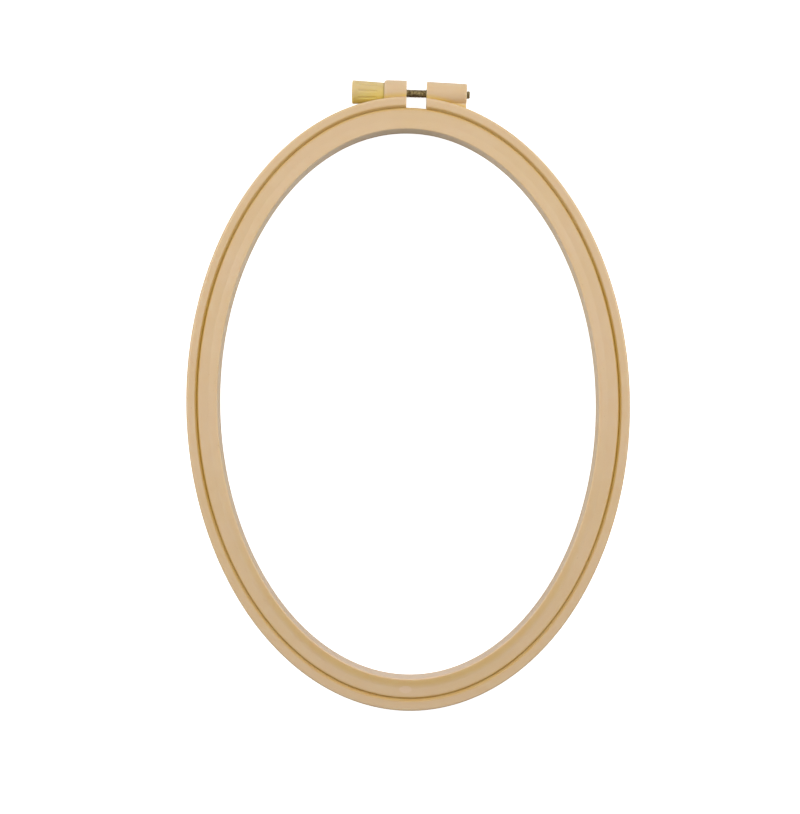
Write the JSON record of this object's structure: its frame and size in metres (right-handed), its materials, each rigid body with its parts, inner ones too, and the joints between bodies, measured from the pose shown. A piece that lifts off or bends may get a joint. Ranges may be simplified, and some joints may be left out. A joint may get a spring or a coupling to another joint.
{
  "type": "embroidery hoop",
  "caption": "Oval embroidery hoop: a closed inner hoop inside a split outer hoop, drawn together by a hand screw with a fluted knob through barrel lugs.",
  "frame": {"origin": "on the resting face, in the middle of the part's box across its width and length", "axes": "+Z out of the hoop's front face, along the hoop's axis; +Y along the oval's length towards the clamp; +X towards the screw's tip, away from the knob"},
  "size_m": [0.1626, 0.2322, 0.01],
  "materials": {
    "hoop_plastic": "satin moulded plastic, beige",
    "knob_plastic": "satin moulded plastic, yellower beige",
    "screw_steel": "dull bronzed steel thread",
    "insert_brass": "turned brass"
  },
  "bodies": {
    "outer_hoop": {"outer_hoop": "hoop_plastic", "thread_insert": "insert_brass"},
    "inner_hoop": {"inner_hoop": "hoop_plastic"},
    "clamp_screw": {"clamp_screw": "screw_steel"},
    "knob": {"knob": "knob_plastic"}
  },
  "joints": [
    {"name": "inner_hoop_lift", "type": "slide", "parent": "outer_hoop", "child": "inner_hoop", "axis": [0, 0, 1], "range_m": [0, 0.03]},
    {"name": "screw_travel", "type": "slide", "parent": "outer_hoop", "child": "clamp_screw", "axis": [-0.9992, 0.0401, 0], "range_m": [0, 0.005]},
    {"name": "knob_turn", "type": "hinge", "parent": "clamp_screw", "child": "knob", "pos_m": [-0.01331, 0.11159, 0.005], "axis": [-0.9992, 0.0401, 0], "range_deg": [0, 3600]}
  ],
  "couplings": [
    {"joint": "knob_turn", "follows": "screw_travel", "rad_per_m": 12566}
  ]
}
